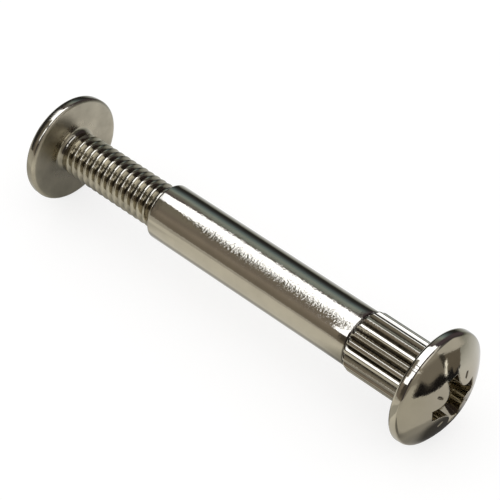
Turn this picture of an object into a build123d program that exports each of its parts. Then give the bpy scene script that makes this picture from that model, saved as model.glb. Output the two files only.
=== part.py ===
"""Binding barrel screw: a knurled sleeve nut and its machine screw, partly screwed together.

Frame: the common axis lies along X, with +X from the screw's head towards the barrel's head.
The origin is the centre of the bearing plane under the barrel's head. +Z is up, and the pair
lies on the rims of its two heads. Lengths are in millimetres.
"""
from build123d import *
import os
from math import cos, pi, radians, sin, tan

# ---- sleeve of the barrel ----
SLEEVE_D = 4.9  # outside, for a 5 mm hole
SLEEVE_LENGTH = 27.8  # bearing plane of the head to the open end
SLEEVE_EDGE = 0.22  # chamfer round the open end
BORE_FLOOR = 3.2  # solid metal left between the bore and the bearing plane of the head
BORE_POINT_ANGLE = 118.0  # drill point at the bottom of the bore

# ---- straight-knurled collar under the barrel's head ----
COLLAR_D = 5.28
COLLAR_LENGTH = 6.6
COLLAR_BEVEL = 0.3  # length of the bevel that leads the knurl into the hole
TEETH = 20
TOOTH_DEPTH = 0.28
TOOTH_LAND = 0.2  # flat left on each crest
GROOVE_OVERCUT = 0.05  # how far a groove's section stands out of the crests
KNURL_TURN = 9.0  # degrees from +Y to the first groove

# ---- heads ----
BARREL_HEAD_D = 9.8
SCREW_HEAD_D = 9.35
RIM_HEIGHT = 0.85
DOME_HEIGHT = 1.75
SEAT_EDGE_R = 0.3  # rounding of the rim's bearing edge
DOME_EDGE_R = 0.4  # rounding between the rim and the dome

# ---- drive recess: a type Z cross of size 2 ----
WING_SPAN = 5.0  # tip to tip, at the dome's top
WING_WIDTH = 1.15
WING_DRAFT = 3.0  # degrees that the wings' side walls lean in
WING_SLOPE = 26.5  # degrees that the wings' ends lean in
LOBE_R = 1.2  # rounding of the four lobes between the wings
RECESS_DEPTH = 2.1  # to the rim of the conical floor
FLOOR_CONE = 0.45  # height of the conical floor
BARREL_DRIVE_TURN = 4.0  # degrees from +Y to a wing, about +X
SCREW_DRIVE_TURN = 30.0

# ---- threaded shank of the screw (M4 x 0.7) ----
THREAD_D = 3.9
SCREW_LENGTH = 22.0  # bearing plane of the head to the tip
TIP_CHAMFER = 0.5
NECK_FILLET = 0.5
BORE_CLEARANCE = 0.05  # radial, between the shank and the bore

# ---- rest position ----
EXPOSED_LENGTH = 11.0  # open end of the sleeve to the screw head's bearing plane

SAME_PLACE = 1e-3  # distance under which two edges count as being at one place

mouth_x = -SLEEVE_LENGTH
screw_seat_x = mouth_x - EXPOSED_LENGTH
head_height = RIM_HEIGHT + DOME_HEIGHT
sleeve_r = SLEEVE_D / 2
collar_r = COLLAR_D / 2
thread_r = THREAD_D / 2
bore_r = thread_r + BORE_CLEARANCE
bore_end_x = -BORE_FLOOR
bore_tip_x = bore_end_x + bore_r / tan(radians(BORE_POINT_ANGLE / 2))
groove_width = pi * COLLAR_D / TEETH - TOOTH_LAND


def dome_radius(head_d):
    """Sphere radius of a dome that rises by DOME_HEIGHT over the whole rim."""
    return ((head_d / 2) ** 2 + DOME_HEIGHT**2) / (2 * DOME_HEIGHT)


def round_rim(head, seat_x, outward):
    """Rounds both edges of a rim. outward is +1 where the dome faces +X, and -1 where it faces -X."""
    for x, radius in ((seat_x + outward * RIM_HEIGHT, DOME_EDGE_R), (seat_x, SEAT_EDGE_R)):
        circles = head.edges().filter_by(GeomType.CIRCLE)
        at_x = circles.filter_by(lambda edge: abs(edge.arc_center.X - x) < SAME_PLACE)
        fillet(at_x.sort_by(SortBy.RADIUS)[-1], radius)


def drive_tool(top_x, inward, turn):
    """Solid that the recess takes out of a dome whose top is at top_x. inward is -1 towards -X, +1 towards +X."""
    along_wing = (0, cos(radians(turn)), sin(radians(turn)))
    top = Plane(origin=(top_x, 0, 0), x_dir=along_wing, z_dir=(inward, 0, 0))
    rim_r = WING_SPAN / 2
    floor_r = rim_r - RECESS_DEPTH * tan(radians(WING_SLOPE))
    with BuildPart() as tool:
        with BuildSketch(top) as cross:
            Rectangle(WING_SPAN, WING_WIDTH)
            Rectangle(WING_WIDTH, WING_SPAN)
            inner = cross.vertices().group_by(lambda corner: round(abs(corner.X) + abs(corner.Y), 3))[0]
            fillet(inner, LOBE_R)
        extrude(amount=RECESS_DEPTH + FLOOR_CONE, taper=WING_DRAFT)
        with BuildSketch(Plane.XZ, mode=Mode.PRIVATE) as envelope:
            with BuildLine():
                Polyline(
                    (top_x, 0),
                    (top_x, rim_r),
                    (top_x + inward * RECESS_DEPTH, floor_r),
                    (top_x + inward * (RECESS_DEPTH + FLOOR_CONE), 0),
                    close=True,
                )
            make_face()
        revolve(envelope.sketch, axis=Axis.X, mode=Mode.INTERSECT)
    return tool.part


# ---- barrel nut: head, collar and sleeve in one piece ----
with BuildPart() as barrel_nut:
    with BuildSketch(Plane.XZ):
        with BuildLine():
            Polyline(
                (bore_tip_x, 0),
                (bore_end_x, bore_r),
                (mouth_x + SLEEVE_EDGE / 2, bore_r),
                (mouth_x, bore_r + SLEEVE_EDGE / 2),
                (mouth_x, sleeve_r - SLEEVE_EDGE),
                (mouth_x + SLEEVE_EDGE, sleeve_r),
                (-COLLAR_LENGTH, sleeve_r),
                (-COLLAR_LENGTH + COLLAR_BEVEL, collar_r),
                (0, collar_r),
                (0, BARREL_HEAD_D / 2),
                (RIM_HEIGHT, BARREL_HEAD_D / 2),
            )
            RadiusArc((RIM_HEIGHT, BARREL_HEAD_D / 2), (head_height, 0), dome_radius(BARREL_HEAD_D))
            Line((head_height, 0), (bore_tip_x, 0))
        make_face()
    revolve(axis=Axis.X)
    round_rim(barrel_nut, 0, 1)
    add(drive_tool(head_height, -1, BARREL_DRIVE_TURN), mode=Mode.SUBTRACT)
    # V-grooves of the knurl, from the sleeve's end of the collar up to the head
    with BuildSketch(Plane.YZ.offset(-COLLAR_LENGTH)):
        with PolarLocations(collar_r, TEETH, start_angle=KNURL_TURN):
            Polygon(
                (GROOVE_OVERCUT, groove_width / 2),
                (GROOVE_OVERCUT, -groove_width / 2),
                (-TOOTH_DEPTH, 0),
                align=None,
            )
    extrude(amount=COLLAR_LENGTH, mode=Mode.SUBTRACT)

# ---- machine screw: head, neck fillet and threaded shank in one piece ----
with BuildPart() as machine_screw:
    with BuildSketch(Plane.XZ):
        with BuildLine():
            Polyline(
                (screw_seat_x - head_height, 0),
                (screw_seat_x + SCREW_LENGTH, 0),
                (screw_seat_x + SCREW_LENGTH, thread_r - TIP_CHAMFER),
                (screw_seat_x + SCREW_LENGTH - TIP_CHAMFER, thread_r),
                (screw_seat_x + NECK_FILLET, thread_r),
                (screw_seat_x, thread_r + NECK_FILLET),
                (screw_seat_x, SCREW_HEAD_D / 2),
                (screw_seat_x - RIM_HEIGHT, SCREW_HEAD_D / 2),
            )
            RadiusArc(
                (screw_seat_x - RIM_HEIGHT, SCREW_HEAD_D / 2),
                (screw_seat_x - head_height, 0),
                -dome_radius(SCREW_HEAD_D),
            )
        make_face()
    revolve(axis=Axis.X)
    round_rim(machine_screw, screw_seat_x, -1)
    add(drive_tool(screw_seat_x - head_height, 1, SCREW_DRIVE_TURN), mode=Mode.SUBTRACT)

os.makedirs("parts", exist_ok=True)
for name, piece in (("barrel_nut", barrel_nut), ("machine_screw", machine_screw)):
    piece.part.label = name
    export_step(piece.part, f"parts/{name}.step")
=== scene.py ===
"""Binding barrel screw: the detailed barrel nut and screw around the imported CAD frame.

The camera, the table, the light and the studio that the polish mirrors follow them. Shapes are
worked out in millimetres in the row frame and turned into metres when the mesh is made.
"""
import math

import bmesh
import bpy
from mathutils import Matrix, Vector


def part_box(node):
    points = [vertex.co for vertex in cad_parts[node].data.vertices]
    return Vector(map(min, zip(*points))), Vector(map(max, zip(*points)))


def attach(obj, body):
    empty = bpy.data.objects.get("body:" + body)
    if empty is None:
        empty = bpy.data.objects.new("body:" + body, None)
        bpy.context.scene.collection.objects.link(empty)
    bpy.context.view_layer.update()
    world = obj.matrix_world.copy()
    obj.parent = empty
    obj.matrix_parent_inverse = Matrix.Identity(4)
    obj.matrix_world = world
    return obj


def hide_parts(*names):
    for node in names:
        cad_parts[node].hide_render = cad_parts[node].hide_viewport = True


MM = 0.001
TAU = 2 * math.pi

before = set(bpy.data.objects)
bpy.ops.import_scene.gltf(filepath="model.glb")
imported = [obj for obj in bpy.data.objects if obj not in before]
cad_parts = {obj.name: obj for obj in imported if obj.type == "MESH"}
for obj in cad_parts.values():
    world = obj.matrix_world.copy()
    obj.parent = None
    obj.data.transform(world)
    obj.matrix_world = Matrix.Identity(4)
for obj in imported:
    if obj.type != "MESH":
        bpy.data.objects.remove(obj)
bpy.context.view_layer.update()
scene = bpy.context.scene

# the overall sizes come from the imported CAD
bar_lo, bar_hi = (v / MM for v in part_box("barrel_nut"))
scr_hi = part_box("machine_screw")[1] / MM
MOUTH_X = bar_lo.x
BARREL_HEAD_R = bar_hi.z
SCREW_HEAD_R = scr_hi.z
SCREW_TIP_X = scr_hi.x

# ---- sizes that part.py also has, mm ----
SLEEVE_R = 2.45
MOUTH_EDGE = 0.22
BORE_R = 2.0
BORE_FLOOR = 3.2  # metal left between the bore and the bearing plane
BORE_POINT = 2.0  # metal left under the drill point
COLLAR_R = 2.64
COLLAR_LENGTH = 6.6
TEETH = 20
KNURL_TURN = 9.0
RIM_HEIGHT = 0.85
DOME_HEIGHT = 1.75
SEAT_EDGE_R = 0.3
WING_SPAN = 5.0
WING_WIDTH = 1.15
WING_DRAFT = math.tan(math.radians(3.0))
WING_SLOPE = math.tan(math.radians(26.5))
LOBE_R = 1.2
RECESS_DEPTH = 2.1
FLOOR_CONE = 0.45
BARREL_DRIVE_TURN = 4.0
SCREW_DRIVE_TURN = 30.0
SCREW_LENGTH = 22.0
THREAD_R = 1.95
NECK_FILLET = 0.5
TIP_CHAMFER = 0.5
SCREW_SEAT_X = SCREW_TIP_X - SCREW_LENGTH

# ---- sizes of what only this script models, or models more finely, mm ----
PITCH = 0.7
THREAD_DEPTH = 0.41
THREAD_CREST = 0.13  # half the crest's flat, as a share of half the pitch
THREAD_LEAD = 0.5  # length over which the thread grows out of the neck
THREAD_ROWS = 8  # rows of points in each turn
BLANK_R = 1.7  # plain neck between the head and the thread
BORE_THREAD = (0.3, 0.7, 8.0, 8.6)  # depths where the bore's thread starts, is full, fades and ends
BORE_GROOVE = 0.16  # depth of that thread
BORE_RINGS = 6  # rings in each of its turns
GROOVE_DEPTH = 0.36  # the knurl's grooves, a little deeper than the CAD ones
TOOTH_SOFT = 0.05  # rounding of the teeth, and the next two: shares of half a tooth
TOOTH_LAND = 0.22
TOOTH_FLANK = 0.74
COLLAR_END = 0.42  # length over which the teeth run out
DOME_EDGE_R = 0.42  # rounding between the rim and the dome
DOME_PLAIN_R = 3.25  # from here out, the dome's rings no longer follow the recess
LIP_R = 0.07  # rounding of the recess's edge
RIM_TAPER = 0.02  # the rim narrows a little towards the dome
TICK = (1.8, 2.42, 0.09, 0.09)  # radial marks between the wings: from, to, half width, depth
TICK_END = 0.12  # length over which a mark fades in or out

# ---- stain and painted shade, from 0 clean and unshaded to 1 black ----
RECESS_DIRT_AND_SHADE = 0.16
NECK_DIRT_AND_SHADE = 0.55
THREAD_DIRT_AND_SHADE = 0.47


def lerp(a, b, t):
    return a + (b - a) * t


def smooth(a, b, v):
    """0 at a, 1 at b, with an eased way between them. b may be less than a."""
    t = min(1.0, max(0.0, (v - a) / (b - a)))
    return t * t * (3 - 2 * t)


class Skin:
    """Collects the rings of a closed turned shape, from one pole to the other."""

    def __init__(self, segments):
        self.n = segments
        self.angles = [TAU * j / segments for j in range(segments)]
        self.bm = bmesh.new()
        self.dirt_and_shade = self.bm.verts.layers.float.new("dirt_and_shade")
        self.last = None

    def vert(self, x, r, j, dirt_and_shade=0.0):
        a = self.angles[j % self.n]
        v = self.bm.verts.new((x * MM, r * math.cos(a) * MM, r * math.sin(a) * MM))
        v[self.dirt_and_shade] = dirt_and_shade
        return v

    def pole(self, x, dirt_and_shade=0.0):
        tip = self.bm.verts.new((x * MM, 0, 0))
        tip[self.dirt_and_shade] = dirt_and_shade
        if self.last is None:
            self.last = tip
        else:
            for j in range(self.n):
                self.bm.faces.new((self.last[j], self.last[(j + 1) % self.n], tip))

    def ring(self, x, r, dirt_and_shade=0.0):
        """Adds a ring. x, r and dirt are numbers, or functions of the angle."""
        fx, fr, fd = (v if callable(v) else (lambda a, v=v: v) for v in (x, r, dirt_and_shade))
        new = [self.vert(fx(a), fr(a), j, fd(a)) for j, a in enumerate(self.angles)]
        if isinstance(self.last, list):
            for j in range(self.n):
                k = (j + 1) % self.n
                self.bm.faces.new((self.last[j], self.last[k], new[k], new[j]))
        elif self.last is not None:
            for j in range(self.n):
                self.bm.faces.new((self.last, new[(j + 1) % self.n], new[j]))
        self.last = new

    def done(self, name, marks, sharp=0.7):
        """marks(x, r, a) gives how matt and how pitted the plating is at a point."""
        bm = self.bm
        matt, pitted = (bm.verts.layers.float.new(k) for k in ("matt", "pitted"))
        for v in bm.verts:
            r, a = math.hypot(v.co.y, v.co.z) / MM, math.atan2(v.co.z, v.co.y)
            v[matt], v[pitted] = marks(v.co.x / MM, r, math.degrees(a))
        bmesh.ops.remove_doubles(bm, verts=bm.verts, dist=2e-7)
        bmesh.ops.recalc_face_normals(bm, faces=bm.faces)
        loose = sum(1 for e in bm.edges if len(e.link_faces) != 2)
        for f in bm.faces:
            f.smooth = True
        for e in bm.edges:
            e.smooth = not (len(e.link_faces) == 2 and e.calc_face_angle(0) > sharp)
        print(name, "faces", len(bm.faces), "edges without two faces", loose)
        mesh = bpy.data.meshes.new(name)
        bm.to_mesh(mesh)
        bm.free()
        obj = bpy.data.objects.new(name, mesh)
        scene.collection.objects.link(obj)
        return obj


def wing_outline(a, depth):
    """Polar radius of the recess's outline at an angle from a wing and at a depth."""
    half_span = WING_SPAN / 2 - depth * WING_SLOPE
    w = WING_WIDTH / 2 - depth * WING_DRAFT
    lobe = LOBE_R + depth * WING_DRAFT
    c = w + lobe
    a = abs((a + math.pi / 4) % (math.pi / 2) - math.pi / 4)
    end = half_span / math.cos(a)
    side = w / max(math.sin(a), 1e-6)
    if side * math.cos(a) < c:
        reach = c * (math.cos(a) + math.sin(a))
        side = reach - math.sqrt(max(reach * reach - 2 * c * c + lobe * lobe, 0))
    k = 22.0  # how tightly the wing's corners are rounded
    m = min(end, side)
    return m - math.log(math.exp(-k * (end - m)) + math.exp(-k * (side - m))) / k


def head(skin, head_r, seat_x, out, turn, nicks=()):
    """Recess, dome, rim and bearing face. out is +1 or -1, as the dome faces +X or -X.

    nicks are dents in the rim: degrees, width in degrees and depth.
    """

    def nicked(r):
        def radius(a):
            dents = (d * math.exp(-(((math.degrees(a) - at) / w) ** 2)) for at, w, d in nicks)
            return r - sum(dents)

        return radius

    top = seat_x + out * (RIM_HEIGHT + DOME_HEIGHT)
    ball = (head_r**2 + DOME_HEIGHT**2) / (2 * DOME_HEIGHT)
    turn = math.radians(turn)

    def sag(r):
        return ball - math.sqrt(max(ball * ball - r * r, 0))

    def outline(a, depth):
        return wing_outline(a - turn, depth)

    def bare(a):
        """1 on the recess's clean, lightly fluted walls, 0 elsewhere."""
        a = math.degrees(a)
        return smooth(285, 300, a) * smooth(355, 345, a)

    lips = {}

    def lip(a):
        """Depth under the dome's top at which the recess's wall meets the dome."""
        if a not in lips:
            d = 0.0
            for _ in range(8):
                d = sag(outline(a, d))
            lips[a] = d
        return lips[a]

    skin.pole(top - out * (RECESS_DEPTH + FLOOR_CONE), RECESS_DIRT_AND_SHADE)
    for s in (0.12, 0.3, 0.55, 0.8, 0.94):
        skin.ring(
            top - out * (RECESS_DEPTH + FLOOR_CONE * (1 - s) ** 1.15),
            lambda a, s=s: s * outline(a, RECESS_DEPTH),
            RECESS_DIRT_AND_SHADE,
        )
    levels = 14
    for k in range(levels + 1):
        t = k / levels

        def depth(a, t=t):
            return lerp(RECESS_DEPTH - 0.03, lip(a) + LIP_R, t)

        def flute(a):
            lobe = smooth(1.5, 1.0, outline(a, 0.5)) * bare(a) * math.sin(math.degrees(a) / 1.9)
            return 0.014 * lobe * smooth(0, 0.15, t) * smooth(0.95, 0.8, t)

        # darker deep in the recess, but not on its clean walls or near its top: stain and painted
        # shade
        def stain_and_shade(a, t=t):
            return RECESS_DIRT_AND_SHADE * (1 - smooth(0.8, 1.0, t)) * (1 - bare(a) * smooth(0.25, 0.4, t))

        skin.ring(
            lambda a, f=depth: top - out * f(a),
            lambda a, f=depth, e=flute: outline(a, f(a)) + e(a),
            stain_and_shade,
        )
    for t in (0.25, 0.5, 0.75, 1.0):

        def lip_r(a, t=t):
            d = lip(a)
            r0, r1 = outline(a, d + LIP_R), outline(a, d)
            return (1 - t) ** 2 * r0 + 2 * t * (1 - t) * r1 + t * t * (r1 + LIP_R)

        def lip_x(a, t=t):
            d = lip(a)
            r1 = outline(a, d)
            fall = (1 - t) ** 2 * (d + LIP_R) + 2 * t * (1 - t) * d + t * t * sag(r1 + LIP_R)
            return top - out * fall

        skin.ring(lip_x, lip_r)

    start, end, half_width, tick_depth = TICK

    def tick(r, a):
        off = ((a - turn) % (math.pi / 2) - math.pi / 4) * r
        along = smooth(start, start + TICK_END, r) * (1 - smooth(end - TICK_END, end, r))
        return tick_depth * along * math.exp(-((off / half_width) ** 2))

    steps = 22
    for k in range(1, steps + 1):
        s = (k / steps) ** 1.1

        def dome_r(a, s=s):
            return lerp(outline(a, lip(a)) + LIP_R, DOME_PLAIN_R, s)

        # the marks are darkened almost to black in their dents: painted shade
        skin.ring(
            lambda a, f=dome_r: top - out * (sag(f(a)) + tick(f(a), a)),
            dome_r,
            lambda a, f=dome_r: 0.95 * tick(f(a), a) / tick_depth,
        )
    # rounding between the dome and the rim
    fillet_r = head_r - RIM_TAPER - DOME_EDGE_R
    run = math.sqrt((ball - DOME_EDGE_R) ** 2 - fillet_r**2)
    lean = math.atan2(run, fillet_r)
    tangent_r = ball * math.cos(lean)
    for k in range(1, 9):
        r = lerp(DOME_PLAIN_R, tangent_r, k / 8)
        skin.ring(top - out * sag(r), r)
    for k in range(1, 11):
        a = lerp(lean, 0.14, k / 10)
        skin.ring(
            top - out * (ball - run - DOME_EDGE_R * math.sin(a)),
            nicked(fillet_r + DOME_EDGE_R * math.cos(a)),
        )
    for k in range(9):
        a = k / 8 * math.pi / 2
        skin.ring(
            seat_x + out * SEAT_EDGE_R * (1 - math.sin(a)),
            nicked(head_r - SEAT_EDGE_R * (1 - math.cos(a))),
        )
    for r in (0.86, 0.76, 0.68):
        skin.ring(seat_x, r * head_r)


# ---- barrel nut ----
barrel = Skin(480)
head(barrel, BARREL_HEAD_R, 0, 1, BARREL_DRIVE_TURN, nicks=((123.0, 1.6, 0.03),))


def across(a):
    """0 in the middle of a groove of the knurl, 1 on the middle of a ridge."""
    return 1 - abs(((math.degrees(a) - KNURL_TURN) * TEETH / 360) % 1.0 * 2 - 1)


def tooth(a):
    """Radius of the knurl at an angle: rounded crests, straight flanks and narrow roots."""
    off = 1 - across(a)
    fall = max(0.0, math.hypot(off, TOOTH_SOFT) - TOOTH_SOFT - TOOTH_LAND)
    depth = GROOVE_DEPTH * min(1.0, math.hypot(fall, TOOTH_SOFT) / TOOTH_FLANK)
    return COLLAR_R + 0.024 - depth  # the rounding sinks the crests by 0.024


# darker towards the middle of the knurl's grooves: grime and painted shade
def grime_and_shade(a):
    return 0.95 * smooth(0.5, 0.0, across(a))


for off, x in ((0.16, 0), (0.05, -0.02), (0.015, -0.06), (0, -0.14)):  # fillet under the head
    barrel.ring(x, lambda a, off=off: tooth(a) + off, grime_and_shade)
for k in range(1, 9):
    barrel.ring(lerp(-0.14, -COLLAR_LENGTH + COLLAR_END, k / 8), tooth, grime_and_shade)
# the step where the teeth run down to the sleeve is darkened almost to black: grime and painted
# shade
under = SLEEVE_R - 0.05
for k in range(1, 11):
    t = k / 10
    f = math.sqrt(max(1 - t * t, 0))
    barrel.ring(
        -COLLAR_LENGTH + COLLAR_END * (1 - t),
        lambda a, f=f: lerp(under, tooth(a), f),
        lambda a, t=t: max(grime_and_shade(a), 0.9 * t**4),
    )
barrel.ring(-COLLAR_LENGTH - 0.04, under, 0.9)
barrel.ring(-COLLAR_LENGTH - 0.09, SLEEVE_R - 0.015, 0.4)
barrel.ring(-COLLAR_LENGTH - 0.16, SLEEVE_R)
for k in range(1, 13):
    barrel.ring(lerp(-COLLAR_LENGTH - 0.16, MOUTH_X + MOUTH_EDGE, k / 12), SLEEVE_R)
for k in range(1, 7):
    a = k / 6 * math.pi / 2
    barrel.ring(
        MOUTH_X + MOUTH_EDGE * (1 - math.sin(a)),
        SLEEVE_R - MOUTH_EDGE * (1 - math.cos(a)),
    )
barrel.ring(MOUTH_X, BORE_R + 0.12)
barrel.ring(MOUTH_X + 0.12, BORE_R)
bore_start, bore_full, bore_fade, bore_end = (MOUTH_X + depth for depth in BORE_THREAD)
barrel.ring(bore_start, BORE_R)


def bore_radius(x, a):
    phase = (x / PITCH - a / TAU) % 1.0
    fade = smooth(bore_start, bore_full, x) * (1 - smooth(bore_fade, bore_end, x))
    return BORE_R + BORE_GROOVE * fade * (1 - abs(2 * phase - 1))


x = bore_start
while x < bore_end:
    x += PITCH / BORE_RINGS
    barrel.ring(min(x, bore_end), lambda a, x=x: bore_radius(x, a))
barrel.ring(-BORE_FLOOR, BORE_R)
barrel.pole(-BORE_POINT)


def barrel_marks(x, r, a):
    """Two rows of fine pits along the sleeve, and no matt plating."""
    on_sleeve = smooth(MOUTH_X + 1, MOUTH_X + 7, x) * smooth(-4.5, -7.2, x) * (r > 2.3)
    pits = math.exp(-(((a - 117) / 9) ** 2)) + 0.5 * math.exp(-(((a - 95) / 5) ** 2))
    return 0.0, on_sleeve * pits


barrel_nut = barrel.done("barrel_nut_visual", barrel_marks)

# ---- machine screw ----
screw = Skin(240)
head(screw, SCREW_HEAD_R, SCREW_SEAT_X, -1, SCREW_DRIVE_TURN)
# the neck is darkened towards the thread, under the head: grime and painted shade
for k in range(7):
    a = k / 6 * math.pi / 2
    screw.ring(
        SCREW_SEAT_X + NECK_FILLET * (1 - math.cos(a)),
        BLANK_R + NECK_FILLET * (1 - math.sin(a)),
        NECK_DIRT_AND_SHADE * k / 6,
    )
THREAD_X = SCREW_SEAT_X + NECK_FILLET


def thread_radius(x, a):
    phase = (x / PITCH - a / TAU) % 1.0
    fall = max(0.0, abs(2 * phase - 1) - THREAD_CREST) / (1 - THREAD_CREST)
    r = THREAD_R - THREAD_DEPTH * (0.5 - 0.5 * math.cos(math.pi * fall))
    r = lerp(BLANK_R, r, smooth(THREAD_X, THREAD_X + THREAD_LEAD, x))
    return min(r, THREAD_R - TIP_CHAMFER + (SCREW_TIP_X - x))


# the rows of points climb with the thread, and are squeezed flat at its two ends
turns = int((SCREW_TIP_X - THREAD_X) / PITCH) + 5
first_turn = math.floor(THREAD_X / PITCH) - 1
lines = []
for i in range(turns * THREAD_ROWS):
    line = []
    for j, a in enumerate(screw.angles):
        x = (first_turn + i / THREAD_ROWS + a / TAU) * PITCH
        x = min(max(x, THREAD_X), SCREW_TIP_X)
        r = thread_radius(x, a)
        # darker down the thread's flanks into its roots: grime and painted shade
        line.append(screw.vert(x, r, j, THREAD_DIRT_AND_SHADE * smooth(THREAD_R - 0.1, THREAD_R - 0.36, r)))
    lines.append(line)
screw.ring(THREAD_X, lambda a: thread_radius(THREAD_X, a), NECK_DIRT_AND_SHADE)
for i in range(len(lines) - 1):
    for j in range(screw.n):
        if j + 1 < screw.n:
            screw.bm.faces.new((lines[i][j], lines[i][j + 1], lines[i + 1][j + 1], lines[i + 1][j]))
        elif i + 1 + THREAD_ROWS < len(lines):
            above, next_above = lines[i + THREAD_ROWS][0], lines[i + 1 + THREAD_ROWS][0]
            screw.bm.faces.new((lines[i][j], above, next_above, lines[i + 1][j]))
screw.last = None
screw.ring(SCREW_TIP_X, THREAD_R - TIP_CHAMFER)
screw.ring(SCREW_TIP_X, 0.7)
screw.pole(SCREW_TIP_X)


def screw_marks(x, r, a):
    """Matt plating on the bearing face, and no pits."""
    return smooth(SCREW_SEAT_X - 0.25, SCREW_SEAT_X - 0.02, x) * smooth(2.0, 2.4, r), 0.0


machine_screw = screw.done("machine_screw_visual", screw_marks)

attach(barrel_nut, "barrel")
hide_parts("barrel_nut")
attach(machine_screw, "screw")
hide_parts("machine_screw")


# ---- materials ----
def nodes_of(name):
    mat = bpy.data.materials.new(name)
    mat.use_nodes = True
    tree = mat.node_tree
    return mat, tree, tree.nodes["Principled BSDF"]


def attribute(tree, name):
    node = tree.nodes.new("ShaderNodeAttribute")
    node.attribute_name = name
    return node.outputs


def noise(tree, coord, scale, detail):
    n = tree.nodes.new("ShaderNodeTexNoise")
    n.inputs["Scale"].default_value = scale
    n.inputs["Detail"].default_value = detail
    n.inputs["Roughness"].default_value = 0.55
    tree.links.new(coord, n.inputs["Vector"])
    return n.outputs["Fac"]


def ramp(tree, fac, stops):
    r = tree.nodes.new("ShaderNodeValToRGB")
    while len(r.color_ramp.elements) < len(stops):
        r.color_ramp.elements.new(0.5)
    for e, (p, c) in zip(r.color_ramp.elements, stops):
        e.position = p
        e.color = (*c, 1)
    tree.links.new(fac, r.inputs["Fac"])
    return r.outputs["Color"]


def math_node(tree, op, *values):
    m = tree.nodes.new("ShaderNodeMath")
    m.operation = op
    for socket, v in zip(m.inputs, values):
        if isinstance(v, (int, float)):
            socket.default_value = v
        else:
            tree.links.new(v, socket)
    return m.outputs[0]


def nickel(name, tint, roughness, grain, mottle):
    """Nickel plating. grain is how rough its bump is, and mottle how dark its patches are."""
    mat, tree, shader = nodes_of(name)
    coord = tree.nodes.new("ShaderNodeTexCoord").outputs["Object"]
    shader.inputs["Metallic"].default_value = 1.0
    patches = noise(tree, coord, 700, 4)
    dark = tuple(c * (1 - mottle) for c in tint)
    plated = ramp(tree, patches, ((0.3, dark), (0.7, tint)))
    # grease and plating stain, and painted shade, in the grooves, the thread's roots, the neck, the
    # recess and the marks
    blotch = math_node(tree, "MULTIPLY_ADD", noise(tree, coord, 2400, 2), 0.5, 0.75)
    stain_and_shade = math_node(tree, "MULTIPLY", attribute(tree, "dirt_and_shade")["Fac"], blotch)
    stained_and_shaded = tree.nodes.new("ShaderNodeMix")
    stained_and_shaded.data_type = "RGBA"
    tree.links.new(stain_and_shade, stained_and_shaded.inputs["Factor"])
    tree.links.new(plated, stained_and_shaded.inputs["A"])
    stained_and_shaded.inputs["B"].default_value = (0.035, 0.026, 0.016, 1)
    tree.links.new(stained_and_shaded.outputs["Result"], shader.inputs["Base Color"])
    fine = noise(tree, coord, 2600, 3)
    polish = ramp(tree, fine, ((0.3, (roughness * 0.7,) * 3), (0.75, (roughness * 1.5,) * 3)))
    rough = math_node(tree, "MULTIPLY_ADD", attribute(tree, "matt")["Fac"], 0.24, polish)
    tree.links.new(rough, shader.inputs["Roughness"])
    pits = noise(tree, coord, 5000, 2)
    waves = noise(tree, coord, 500, 1)
    depth = math_node(tree, "MULTIPLY_ADD", attribute(tree, "pitted")["Fac"], 7.0, grain)
    height = math_node(tree, "MULTIPLY_ADD", pits, depth, waves)
    bump = tree.nodes.new("ShaderNodeBump")
    bump.inputs["Strength"].default_value = 1.0
    bump.inputs["Distance"].default_value = 0.00001
    tree.links.new(height, bump.inputs["Height"])
    tree.links.new(bump.outputs["Normal"], shader.inputs["Normal"])
    return mat


barrel_nut.data.materials.append(nickel("barrel_nickel", (0.5, 0.455, 0.355), 0.07, 0.3, 0.08))
machine_screw.data.materials.append(nickel("screw_nickel", (0.49, 0.445, 0.34), 0.11, 0.4, 0.22))

# ---- camera ----
cam_data = bpy.data.cameras.new("camera")
cam_data.sensor_width = 36.0
cam_data.lens = 158.4
cam_data.clip_start = 0.01
cam_data.clip_end = 10.0
camera = bpy.data.objects.new("camera", cam_data)
scene.collection.objects.link(camera)
camera.location = Vector((68.1, -90.9, 120.1)) * MM
camera.rotation_euler = Vector((-0.502, 0.5265, -0.686)).to_track_quat("-Z", "Y").to_euler()
scene.camera = camera

# ---- a plain pale table, whose colour and glow add up to white under a plain white sky ----
FAR = 2000  # half the table's width, mm
floor_z = -max(BARREL_HEAD_R, SCREW_HEAD_R)


def mix(a, b, t):
    return tuple(lerp(p, q, t) for p, q in zip(a, b))


def between(stops, v):
    """Colour at v among (value, colour) stops."""
    for (v0, c0), (v1, c1) in zip(stops, stops[1:]):
        if v <= v1:
            return mix(c0, c1, min(1.0, max(0.0, (v - v0) / (v1 - v0))))
    return stops[-1][1]


def sheet(name, rows, skip=None):
    """A staged mesh from rows of (place in mm, colour), with the colour kept for its material.

    A fourth number in the colour is the sheet's cover there. Faces whose corners all pass skip are
    left out.
    """
    bm = bmesh.new()
    layer = bm.verts.layers.float_color.new("shade")
    grid = []
    for row in rows:
        grid.append([])
        for place, colour in row:
            v = bm.verts.new(Vector(place) * MM)
            v[layer] = (*colour, 1) if len(colour) == 3 else colour
            grid[-1].append(v)
    for a, b in zip(grid, grid[1:]):
        for k in range(len(a) - 1):
            corners = (a[k], b[k], b[k + 1], a[k + 1])
            if skip is None or any(not skip(v[layer]) for v in corners):
                bm.faces.new(corners)
    bmesh.ops.delete(bm, geom=[v for v in bm.verts if not v.link_faces], context="VERTS")
    mesh = bpy.data.meshes.new(name)
    bm.to_mesh(mesh)
    bm.free()
    obj = bpy.data.objects.new(name, mesh)
    scene.collection.objects.link(obj)
    return obj


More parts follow.
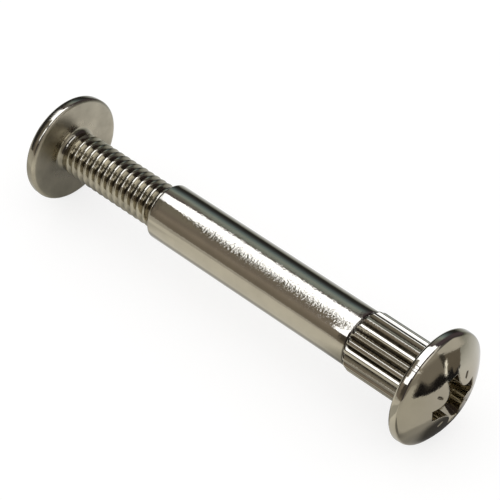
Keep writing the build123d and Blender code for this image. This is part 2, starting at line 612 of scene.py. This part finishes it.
def card_material(obj, see_through):
    """A card that only the polish shows. It glows in its colours, or tints what is behind it."""
    mat = bpy.data.materials.new(obj.name)
    mat.use_nodes = True
    tree = mat.node_tree
    tree.nodes.remove(tree.nodes["Principled BSDF"])
    shade = attribute(tree, "shade")
    clear = tree.nodes.new("ShaderNodeBsdfTransparent")
    if see_through:
        tree.links.new(shade["Color"], clear.inputs["Color"])
        surface = clear.outputs[0]
    else:
        glow = tree.nodes.new("ShaderNodeEmission")
        tree.links.new(shade["Color"], glow.inputs["Color"])
        cover = tree.nodes.new("ShaderNodeMixShader")
        tree.links.new(shade["Alpha"], cover.inputs[0])
        tree.links.new(clear.outputs[0], cover.inputs[1])
        tree.links.new(glow.outputs[0], cover.inputs[2])
        surface = cover.outputs[0]
    tree.links.new(surface, tree.nodes["Material Output"].inputs["Surface"])
    obj.data.materials.append(mat)
    obj.visible_camera = False
    obj.visible_diffuse = False
    obj.visible_shadow = False


ends = (-FAR, FAR)
floor = sheet("floor", [[((x, y, floor_z), (1, 1, 1)) for y in ends] for x in ends])
mat, tree, shader = nodes_of("paper")
shader.inputs["Base Color"].default_value = (0.3, 0.296, 0.292, 1)
shader.inputs["Roughness"].default_value = 1.0
shader.inputs["Specular IOR Level"].default_value = 0.0
shader.inputs["Emission Color"].default_value = (0.735, 0.735, 0.735, 1)
shader.inputs["Emission Strength"].default_value = 1.0
floor.data.materials.append(mat)

world = bpy.data.worlds.new("world")
scene.world = world
world.use_nodes = True
world.node_tree.nodes["Background"].inputs["Color"].default_value = (1, 1, 1, 1)
world.node_tree.nodes["Background"].inputs["Strength"].default_value = 1.0


# ---- what the polish mirrors: three sheets of painted reflection that the camera and the diffuse light don't see ----
# They stand in front of the white table and sky. Their places and tones were fitted to the look
# from this one camera, so they are no real room. Without them the polish mirrors plain white.

# ---- the table's dimmer parts and painted shadows, as a tinted film ----
FRONT_TO_BACK = (  # how much of the white is left at each Y, mm
    (-60, (0.74, 0.73, 0.71)),
    (-9, (0.86, 0.86, 0.83)),
    (-4, (0.86, 0.86, 0.84)),
    # the dip from -3.2 to -0.6 is a painted shadow under the sleeve
    (-3.2, (0.62, 0.62, 0.61)),
    (-2.5, (0.47, 0.48, 0.46)),
    (-1.9, (0.52, 0.53, 0.54)),
    (-0.6, (0.82, 0.83, 0.84)),
    (1.5, (0.9, 0.9, 0.92)),
    (7, (0.84, 0.84, 0.86)),
    (14, (0.72, 0.75, 0.79)),
    (20, (0.6, 0.63, 0.66)),
    (33, (0.43, 0.45, 0.46)),
    (91, (0.2, 0.22, 0.2)),
    (200, (0.13, 0.14, 0.13)),
)
# the painted shadow stripe under the pair's front side ends at the near head
NO_STRIPE = tuple(stop for stop in FRONT_TO_BACK if not -3.5 < stop[0] < -0.5)
PAST_HEAD_TINT = (1.0, 0.985, 0.96)
# painted shadows on the table, seen only in the polish
SHADOW_PATCHES = (  # how much is left, the middle's X and Y, and the reach along X and Y, mm
    (0.08, -33.5, 3.2, 3.2, 2.4),  # behind the bare thread, beside the far head
    (0.6, -6, -5, 3.5, 3.5),  # in front of the collar
)


def film_shade(x, y):
    """How much of the white is left at a place on the table, mm: painted shadows and shade, seen
    only in the polish.
    """
    past_head = lerp(0.71, 1.12, smooth(2, 14, y))
    colour = mix(between(FRONT_TO_BACK, y), between(NO_STRIPE, y), smooth(-1.5, 0.5, x))
    tinted = [c * tint * past_head for c, tint in zip(colour, PAST_HEAD_TINT)]
    colour = mix(colour, tinted, smooth(-3, 2, x))
    left = lerp(1, 0.62, smooth(-13, -8, x)) if x < -3 and y < 3 else 1.0
    # painted shadow under the far head, and in front of it beyond its outer side
    under_far_head = lerp(0.75, 0.34, smooth(-2.6, -1.0, y)) + 0.78 * smooth(4.0, 7.2, y)
    left *= lerp(1, under_far_head, smooth(-30, -34, x) * smooth(15, 10, abs(y)))
    left *= lerp(1, 0.76, smooth(-39, -47, x) * smooth(0, -6, y))
    # painted shadow round the near head's foot
    foot, r = smooth(0.2, 1.4, x), math.hypot(x, y)
    left *= lerp(1, 0.64, foot * smooth(5.9, 5.3, r))
    left *= lerp(1, 0.78, foot * smooth(4.5, 3.5, r))
    left *= lerp(1, 0.22, foot * smooth(3.4, 2.0, math.hypot(x - 2, y - 0.5)))
    left *= lerp(1, 0.35, smooth(1.4, 0.8, math.hypot((x - 2.2) / 1.3, (y + 9) / 4)))
    for least, at_x, at_y, reach_x, reach_y in SHADOW_PATCHES:
        fade = math.exp(-(((x - at_x) / reach_x) ** 2) - ((y - at_y) / reach_y) ** 2)
        left *= lerp(1, least, fade)
    return [c * left for c in colour]


def grid_lines(*parts):
    """Coordinates in mm, close together in the parts (from, to, step) that show sharply."""
    near = [lo + i * step for lo, hi, step in parts for i in range(round((hi - lo) / step))]
    return [-FAR, -400, -150, *near, 150, 400, FAR]


xs = grid_lines((-70, -10, 1.5), (-10, 10, 0.4), (10, 60, 2.0))
ys = grid_lines((-60, -8, 1.5), (-8, 6, 0.4), (6, 100, 2.0))
film = sheet("table_film", [[((x, y, floor_z + 0.01), film_shade(x, y)) for y in ys] for x in xs])
card_material(film, True)

# ---- a painted reflection of a dark room beyond the table, in the polish of the near head ----
CARD_R = 38.0  # mm from the middle of the head to where the floor's part turns up
EYE_Z = 2.5  # height from which the azimuth and elevation below are counted
DARK_TOP = (  # the dark things on the floor's far side reach up to this elevation at each azimuth
    (-20, (-13,)),
    (-14, (-7,)),
    (-10, (-1,)),
    (-7, (0.5,)),
    (-3, (-4,)),
    (1, (-7,)),
    (6, (-6,)),
    (10, (-4.5,)),
    (16, (-3.5,)),
    (22.5, (-8,)),
)


def card_shade(az, el):
    """Colour and cover of the card at an azimuth from +X and an elevation, in degrees."""
    if az < 22.5:  # dark things on the table's far side
        top = between(DARK_TOP, az)[0]
        dark = smooth(top + 3, top - 3, el)
        dark *= lerp(1, 0.86, math.exp(-(((az - 1) / 5) ** 2)) * smooth(-14, -10, el))
        colour = mix((0.27, 0.25, 0.225), (0.42, 0.4, 0.37), smooth(11, 18, el))
        colour = mix(colour, (0.014, 0.013, 0.014), dark)
        edge = smooth(-20.5, -18.5, az - 0.55 * (el + 13))
        low = -17.6 + 0.006 * (az - 4) ** 2
        return colour, smooth(low - 0.6, low + 0.4, el) * edge
    # a brown board with a bright strip, both leaning to the right
    across = az - 0.45 * (el + 4)
    brown = smooth(-15.5, -14, el) if az > 33 else smooth(-10, -6, el)
    colour = mix((0.016, 0.017, 0.019), (0.18, 0.16, 0.135), brown)
    if across < 23.6:
        colour = (0.06, 0.055, 0.048)
    strip = smooth(22.8, 23.4, across) * smooth(27.2, 26.6, across)
    strip *= smooth(-12, -10, el) * smooth(4, 2, el)
    colour = mix(colour, (1.5, 1.5, 1.5), strip)
    right = smooth(52.6, 51.4, az - 0.69 * (el + 4.3))
    above = smooth(-0.7, 0.7, el - 9 + 0.65 * (az - 31.5))  # its top edge falls to the right
    board = right * smooth(-17, -15.8, el)
    stem = smooth(41, 39.8, az) * smooth(-44, -42, el) * smooth(-8, -10, el)
    over = above * smooth(66, 54, az) * smooth(26, 20, el)
    colour = mix(colour, (0.68, 0.67, 0.655), above)
    return colour, max(board * (1 - above), stem, over)


def card_rows(columns, rows):
    """Points of the card, flat on the table near the head and upright from CARD_R."""
    for i in range(columns + 1):
        az = lerp(-30, 66, i / columns)
        a = math.radians(az)
        row = []
        for j in range(rows + 1):
            el = lerp(-44.5, 27, j / rows)
            rise = math.tan(math.radians(el))
            floor_r = (EYE_Z + BARREL_HEAD_R - 0.02) / max(-rise, 1e-9)
            r = min(CARD_R, floor_r)
            colour, cover = card_shade(az, el)
            row.append(((r * math.cos(a), r * math.sin(a), EYE_Z + r * rise), (*colour, cover)))
        yield row


card_material(sheet("room_card", card_rows(192, 143), lambda c: c[3] <= 0.001), False)

# ---- the studio round the table, painted reflections that glow but light nothing: a long soft box overhead, a lamp beside it and dark walls ----
SKY_R = 1500.0
BOX = (2.8, 3.0, 3.6)  # colour of the soft box
ROOM = (0.36, 0.34, 0.315)
SKY = (  # colour at each angle from the back (0) over the top (90) to the front (180), degrees
    (0, (0.04, 0.04, 0.04)),
    (12, (0.03, 0.03, 0.03)),
    (20, (0.06, 0.07, 0.08)),
    (28, (0.13, 0.17, 0.2)),
    (36, (0.25, 0.33, 0.37)),
    (44, (0.39, 0.46, 0.47)),
    (52, (0.27, 0.28, 0.27)),
    (70, (0.14, 0.11, 0.13)),
    (72.5, BOX),
    (100.5, BOX),
    (103.5, (0.27, 0.26, 0.23)),
    (126, (0.29, 0.27, 0.24)),
    (140, (0.27, 0.24, 0.22)),
    (152, (0.35, 0.31, 0.28)),
    (170, (0.26, 0.23, 0.2)),
    (179.5, (0.27, 0.24, 0.22)),
    (180, (0.82, 0.82, 0.82)),
)
BESIDE = (  # the same, a little to the right of the first
    (0, (0.1, 0.08, 0.1)),
    (65, (0.1, 0.08, 0.1)),
    (68, BOX),
    (114, BOX),
    (116.5, (0.06, 0.05, 0.06)),
    (121, (0.06, 0.05, 0.06)),
    (123.5, BOX),
    (134, BOX),
    (137, (0.09, 0.08, 0.07)),
    (168, (0.09, 0.08, 0.07)),
    (180, (0.27, 0.24, 0.2)),
)
RIGHT = (  # and well to the right
    (0, (0.12, 0.12, 0.12)),
    (48, (0.16, 0.16, 0.16)),
    (66, (0.3, 0.3, 0.3)),
    (76, (1.1, 1.1, 1.15)),
    (106, (1.1, 1.1, 1.15)),
    (122, (0.6, 0.57, 0.5)),
    (150, (0.3, 0.28, 0.25)),
    (180, (0.3, 0.28, 0.25)),
)


def sky_shade(x, psi):
    """Colour of the studio in a direction: its X, from -1 to 1, and its angle about X."""
    beside = between(BESIDE, psi)
    if 134 <= psi < 150:  # the second box goes on to here at its left end
        beside = mix(BOX, beside, smooth(-0.2, -0.12, x))
    colour = mix((0.04, 0.04, 0.04), between(SKY, psi), smooth(-0.7, -0.62, x))
    start = -0.44 if 139 < psi < 151 else -0.36
    colour = mix(colour, beside, smooth(start, start + 0.05, x))
    colour = mix(colour, (0.08, 0.07, 0.08), smooth(0.1, 0.16, x))
    colour = mix(colour, between(RIGHT, psi), smooth(0.5, 0.55, x))
    # a small painted glint, as of a lamp, seen only in the polish
    lamp_glint = smooth(0.22, 0.27, x) * smooth(57, 60, psi) * smooth(75, 72, psi)
    colour = mix(colour, (0.8, 0.8, 0.82), lamp_glint)
    return mix(colour, ROOM, smooth(0.8, 0.93, x))


def sky_rows(columns, rows):
    """Points of the studio, over the table from just under its back edge to its front edge."""
    for i in range(columns + 1):
        x = lerp(-0.9995, 0.9995, i / columns)
        across = math.sqrt(1 - x * x) * SKY_R
        row = []
        for j in range(rows + 1):
            psi = lerp(-2, 182, j / rows)
            a = math.radians(psi)
            place = (x * SKY_R, across * math.cos(a), across * math.sin(a))
            row.append((place, sky_shade(x, psi)))
        yield row


card_material(sheet("studio", sky_rows(90, 276)), False)

scene.view_settings.view_transform = "Standard"
